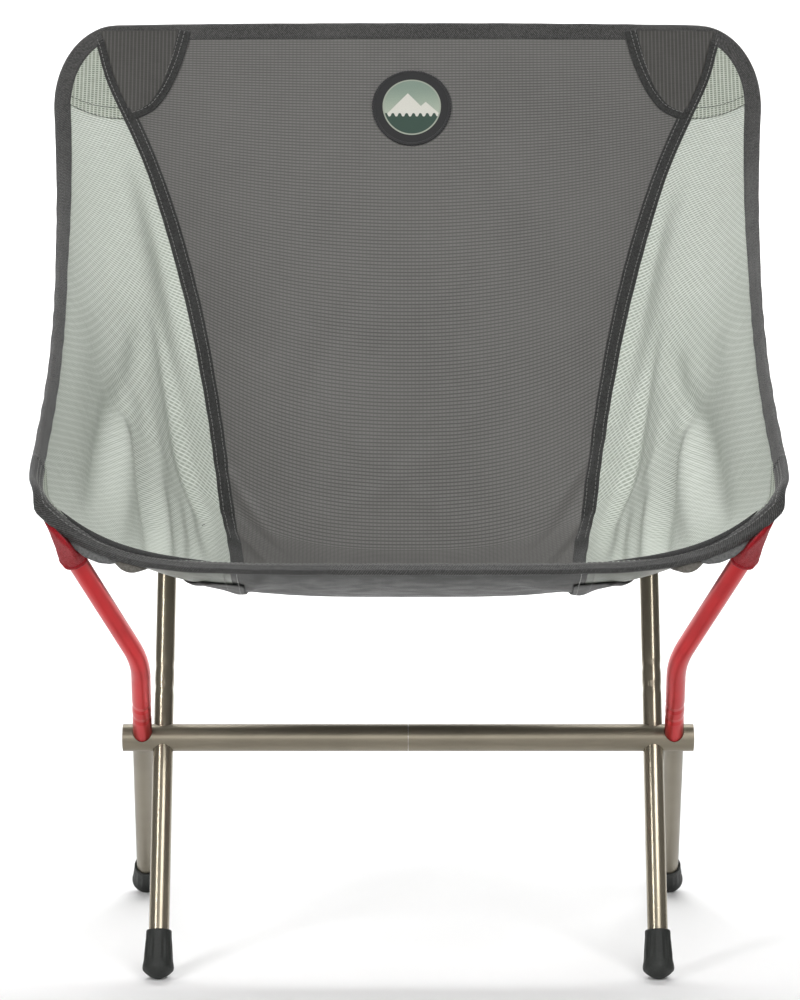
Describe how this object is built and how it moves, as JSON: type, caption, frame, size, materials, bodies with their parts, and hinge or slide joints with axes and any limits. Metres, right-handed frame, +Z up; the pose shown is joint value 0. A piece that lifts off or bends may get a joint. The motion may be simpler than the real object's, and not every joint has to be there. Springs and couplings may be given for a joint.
{
  "type": "ultralight backpacking chair",
  "caption": "Low shock-corded tube-frame camp chair: a two-tone fabric sling on raked poles and legs that pass through one crossbar hub.",
  "frame": {"origin": "on the floor, at the middle of the whole chair's width and depth", "axes": "+Z up, the sitter faces -Y, +X is the right-hand side for someone who looks at the chair from the front"},
  "size_m": [0.529, 0.4902, 0.657],
  "materials": {
    "bronze_tube": "bronze-grey anodised, satin, with long sharp highlights",
    "red_tube": "red anodised, smooth satin gloss",
    "plain_aluminium": "plain drawn tube",
    "shock_cord": "braided elastic cord",
    "foot_rubber": "matte moulded rubber with flutes",
    "black_plastic": "moulded nylon",
    "grey_ripstop": "dark grey ripstop, fine ribs across",
    "sage_ripstop": "pale sage ripstop with a fine grid",
    "dark_ripstop": "charcoal ripstop",
    "charcoal_tape": "woven twill tape with twin rows of stitching",
    "red_fabric": "red woven sleeve fabric",
    "badge": "printed round patch with a plain mountain outline"
  },
  "bodies": {
    "frame": {"hub_tube_left": "bronze_tube", "hub_tube_right": "bronze_tube", "hub_ferrule": "plain_aluminium", "hub_end_plug_left": "black_plastic", "hub_end_plug_right": "black_plastic", "hub_cord": "shock_cord", "front_spigot_left": "plain_aluminium", "front_spigot_right": "plain_aluminium", "rear_spigot_left": "plain_aluminium", "rear_spigot_right": "plain_aluminium", "front_cord_left": "shock_cord", "front_cord_right": "shock_cord", "rear_cord_left": "shock_cord", "rear_cord_right": "shock_cord", "back_pole_lower_left": "bronze_tube", "back_pole_lower_right": "bronze_tube", "back_pole_ferrule_left": "plain_aluminium", "back_pole_ferrule_right": "plain_aluminium", "back_pole_upper_left": "bronze_tube", "back_pole_upper_right": "bronze_tube", "back_pole_tip_left": "black_plastic", "back_pole_tip_right": "black_plastic", "seat_pole_left": "red_tube", "seat_pole_right": "red_tube", "seat_pole_tip_left": "black_plastic", "seat_pole_tip_right": "black_plastic", "centre_panel": "grey_ripstop", "side_panel_left": "sage_ripstop", "side_panel_right": "sage_ripstop", "seam_tape_left": "charcoal_tape", "seam_tape_right": "charcoal_tape", "top_binding": "charcoal_tape", "side_binding_left": "charcoal_tape", "side_binding_right": "charcoal_tape", "front_binding": "charcoal_tape", "dark_corner_patch_left": "dark_ripstop", "dark_corner_patch_right": "dark_ripstop", "light_corner_patch_left": "sage_ripstop", "light_corner_patch_right": "sage_ripstop", "back_pole_pocket_left": "dark_ripstop", "back_pole_pocket_right": "dark_ripstop", "seat_pole_sleeve_left": "red_fabric", "seat_pole_sleeve_right": "red_fabric", "badge": "badge"},
    "front_left_leg": {"front_leg_left": "bronze_tube", "front_foot_left": "foot_rubber", "front_leg_plug_left": "black_plastic"},
    "rear_left_leg": {"rear_leg_left": "bronze_tube", "rear_foot_left": "foot_rubber", "rear_leg_plug_left": "black_plastic"},
    "front_right_leg": {"front_leg_right": "bronze_tube", "front_foot_right": "foot_rubber", "front_leg_plug_right": "black_plastic"},
    "rear_right_leg": {"rear_leg_right": "bronze_tube", "rear_foot_right": "foot_rubber", "rear_leg_plug_right": "black_plastic"}
  },
  "joints": [
    {"name": "front_leg_left_pull", "type": "slide", "parent": "frame", "child": "front_left_leg", "axis": [0, -0.4067, -0.9135], "range_m": [0, 0.042], "stiffness_N_per_m": 90, "springref_m": -0.09, "deforming": ["front_cord_left"]},
    {"name": "rear_leg_left_pull", "type": "slide", "parent": "frame", "child": "rear_left_leg", "axis": [-0.0558, 0.7868, -0.6147], "range_m": [0, 0.042], "stiffness_N_per_m": 90, "springref_m": -0.09, "deforming": ["rear_cord_left"]},
    {"name": "front_leg_right_pull", "type": "slide", "parent": "frame", "child": "front_right_leg", "axis": [0, -0.4067, -0.9135], "range_m": [0, 0.042], "stiffness_N_per_m": 90, "springref_m": -0.09, "deforming": ["front_cord_right"]},
    {"name": "rear_leg_right_pull", "type": "slide", "parent": "frame", "child": "rear_right_leg", "axis": [0.0558, 0.7868, -0.6147], "range_m": [0, 0.042], "stiffness_N_per_m": 90, "springref_m": -0.09, "deforming": ["rear_cord_right"]}
  ]
}
